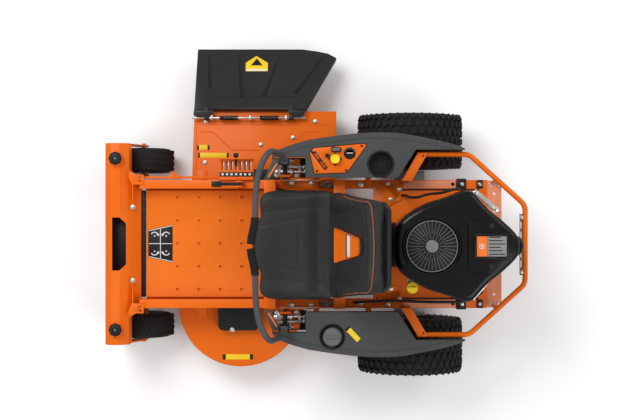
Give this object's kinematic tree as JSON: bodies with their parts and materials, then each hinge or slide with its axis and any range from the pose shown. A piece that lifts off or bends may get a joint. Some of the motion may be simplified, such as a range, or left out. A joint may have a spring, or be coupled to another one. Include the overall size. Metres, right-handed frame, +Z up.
{
  "type": "zero turn mower",
  "caption": "Ride-on zero turn mower: welded frame on caster and driven wheels, side-discharge deck, seat, folding lap bars and a rear engine.",
  "frame": {"origin": "middle of the machine's footprint, at ground level", "axes": "+X to the rear, +Y to the discharge side, +Z up"},
  "size_m": [1.862, 1.4751, 0.9985],
  "materials": {
    "orange_paint": "satin powder coat",
    "console_plastic": "fine moulded grain",
    "chute_plastic": "moulded",
    "black_plastic": "moulded",
    "black_paint": "satin",
    "engine_black": "gloss",
    "bare_steel": "zinc plated",
    "cast_alloy": "as cast",
    "tyre_rubber": "moulded tread",
    "foam_rubber": "foam",
    "seat_vinyl": "grained vinyl",
    "rim_paint": "satin silver",
    "worn_step": "worn",
    "yellow_plastic": "gloss",
    "bar_grey": "satin"
  },
  "bodies": {
    "chassis": {"frame_rails": "orange_paint", "front_beam": "orange_paint", "foot_platform": "orange_paint", "cross_members": "orange_paint", "rear_crossmember": "orange_paint", "bumper_hoop": "orange_paint", "bumper_straps": "orange_paint", "step_plate": "worn_step", "fender_right": "console_plastic", "fender_left": "console_plastic", "console_brackets": "orange_paint", "control_panel": "orange_paint", "hour_meter": "black_plastic", "engine_block": "cast_alloy", "cylinders": "cast_alloy", "blower_shroud": "engine_black", "air_cleaner_cover": "black_plastic", "muffler": "bare_steel", "battery": "black_plastic", "transaxles": "cast_alloy", "fuel_tank": "black_plastic", "height_bracket": "orange_paint", "fasteners": "bare_steel", "cables": "foam_rubber"},
    "caster_fork_right": {"fork_right": "orange_paint"},
    "caster_fork_left": {"fork_left": "orange_paint"},
    "caster_wheel_right": {"caster_tyre_right": "tyre_rubber", "caster_rim_right": "rim_paint"},
    "caster_wheel_left": {"caster_tyre_left": "tyre_rubber", "caster_rim_left": "rim_paint"},
    "rear_wheel_right": {"rear_tyre_right": "tyre_rubber", "rear_rim_right": "rim_paint"},
    "rear_wheel_left": {"rear_tyre_left": "tyre_rubber", "rear_rim_left": "rim_paint"},
    "deck": {"deck_top": "orange_paint", "deck_skirt": "orange_paint", "deck_fittings": "cast_alloy", "deck_covers": "chute_plastic", "chute_hinge": "bare_steel"},
    "spindle_right": {"blade_right": "black_paint"},
    "spindle_left": {"blade_left": "black_paint"},
    "engine_crank": {"crankshaft": "bare_steel", "fan_screen": "cast_alloy"},
    "discharge_chute": {"chute": "chute_plastic"},
    "seat_base": {"seat_plate": "black_paint"},
    "seat": {"seat_pan": "black_paint", "seat_cushion": "seat_vinyl", "seat_back": "seat_vinyl"},
    "control_lever_right": {"lever_right": "black_paint"},
    "control_lever_left": {"lever_left": "black_paint"},
    "lap_bar_arm_right": {"lap_bar_right": "bar_grey"},
    "lap_bar_arm_left": {"lap_bar_left": "bar_grey"},
    "blade_switch": {"pto_knob": "yellow_plastic"},
    "ignition_key": {"key_knob": "black_plastic"},
    "choke": {"choke_knob": "black_plastic"},
    "throttle": {"throttle_lever": "black_plastic"},
    "fuel_filler_cap": {"fuel_cap": "black_plastic"},
    "oil_filler_cap": {"oil_cap": "yellow_plastic"},
    "deck_height_pin": {"height_pin": "black_plastic"},
    "deck_lift_pedal": {"lift_pedal": "black_plastic"}
  },
  "joints": [
    {"name": "caster_swivel_right", "type": "hinge", "parent": "chassis", "child": "caster_fork_right", "pos_m": [-0.872, 0.22045, 0.4], "axis": [0, 0, 1], "continuous": true},
    {"name": "caster_swivel_left", "type": "hinge", "parent": "chassis", "child": "caster_fork_left", "pos_m": [-0.872, -0.53355, 0.4], "axis": [0, 0, 1], "continuous": true},
    {"name": "caster_spin_right", "type": "hinge", "parent": "caster_fork_right", "child": "caster_wheel_right", "pos_m": [-0.785, 0.22045, 0.14], "axis": [0, 1, 0], "continuous": true},
    {"name": "caster_spin_left", "type": "hinge", "parent": "caster_fork_left", "child": "caster_wheel_left", "pos_m": [-0.785, -0.53355, 0.14], "axis": [0, 1, 0], "continuous": true},
    {"name": "rear_spin_right", "type": "hinge", "parent": "chassis", "child": "rear_wheel_right", "pos_m": [0.436, 0.30145, 0.2375], "axis": [0, 1, 0], "continuous": true},
    {"name": "rear_spin_left", "type": "hinge", "parent": "chassis", "child": "rear_wheel_left", "pos_m": [0.436, -0.61455, 0.2375], "axis": [0, 1, 0], "continuous": true},
    {"name": "deck_height", "type": "slide", "parent": "chassis", "child": "deck", "axis": [0, 0, 1], "range_m": [-0.038, 0.038]},
    {"name": "pedal_pivot", "type": "hinge", "parent": "chassis", "child": "deck_lift_pedal", "pos_m": [-0.324, 0.10695, 0.467], "axis": [0, 1, 0], "range_deg": [-20, 20]},
    {"name": "blade_spin_right", "type": "hinge", "parent": "deck", "child": "spindle_right", "pos_m": [-0.227, 0.09855, 0.15], "axis": [0, 0, 1], "continuous": true},
    {"name": "blade_spin_left", "type": "hinge", "parent": "deck", "child": "spindle_left", "pos_m": [-0.333, -0.43645, 0.15], "axis": [0, 0, 1], "continuous": true},
    {"name": "chute_lift", "type": "hinge", "parent": "deck", "child": "discharge_chute", "pos_m": [-0.272, 0.41155, 0.245], "axis": [1, 0, 0], "range_deg": [0, 80]},
    {"name": "crank_spin", "type": "hinge", "parent": "chassis", "child": "engine_crank", "pos_m": [0.491, -0.15655, 0.5], "axis": [0, 0, 1], "continuous": true},
    {"name": "seat_tilt", "type": "hinge", "parent": "chassis", "child": "seat_base", "pos_m": [-0.192, -0.15655, 0.479], "axis": [0, -1, 0], "range_deg": [0, 38]},
    {"name": "seat_slide", "type": "slide", "parent": "seat_base", "child": "seat", "axis": [1, 0, 0], "range_m": [-0.03, 0.04]},
    {"name": "lever_swing_right", "type": "hinge", "parent": "chassis", "child": "control_lever_right", "pos_m": [-0.125, 0.19295, 0.47], "axis": [0, 1, 0], "range_deg": [-18, 14]},
    {"name": "lever_swing_left", "type": "hinge", "parent": "chassis", "child": "control_lever_left", "pos_m": [-0.125, -0.50605, 0.47], "axis": [0, 1, 0], "range_deg": [-18, 14]},
    {"name": "bar_fold_right", "type": "hinge", "parent": "control_lever_right", "child": "lap_bar_arm_right", "pos_m": [-0.125, 0.19995, 0.61], "axis": [-1, 0, 0], "range_deg": [0, 40]},
    {"name": "bar_fold_left", "type": "hinge", "parent": "control_lever_left", "child": "lap_bar_arm_left", "pos_m": [-0.125, -0.51305, 0.61], "axis": [1, 0, 0], "range_deg": [0, 40]},
    {"name": "blade_switch_pull", "type": "slide", "parent": "chassis", "child": "blade_switch", "axis": [0, 0, 1], "range_m": [-0.008, 0]},
    {"name": "key_turn", "type": "hinge", "parent": "chassis", "child": "ignition_key", "pos_m": [0.156, 0.23795, 0.56], "axis": [0, 0, -1], "range_deg": [0, 80]},
    {"name": "choke_pull", "type": "slide", "parent": "chassis", "child": "choke", "axis": [0, 0, 1], "range_m": [0, 0.025]},
    {"name": "throttle_swing", "type": "hinge", "parent": "chassis", "child": "throttle", "pos_m": [0.027, 0.20695, 0.516], "axis": [0.7986, 0.6018, 0], "range_deg": [-22, 22]},
    {"name": "fuel_cap_turn", "type": "hinge", "parent": "chassis", "child": "fuel_filler_cap", "pos_m": [0.081, -0.55305, 0.56], "axis": [0, 0, 1], "continuous": true},
    {"name": "oil_cap_turn", "type": "hinge", "parent": "chassis", "child": "oil_filler_cap", "pos_m": [0.416, -0.33355, 0.7], "axis": [0, 0, 1], "continuous": true},
    {"name": "pin_pull", "type": "slide", "parent": "chassis", "child": "deck_height_pin", "axis": [0, 1, 0], "range_m": [0, 0.045]}
  ],
  "couplings": [
    {"joint": "pedal_pivot", "follows": "deck_height", "rad_per_m": -8},
    {"joint": "blade_spin_right", "follows": "blade_spin_left", "ratio": 1}
  ]
}
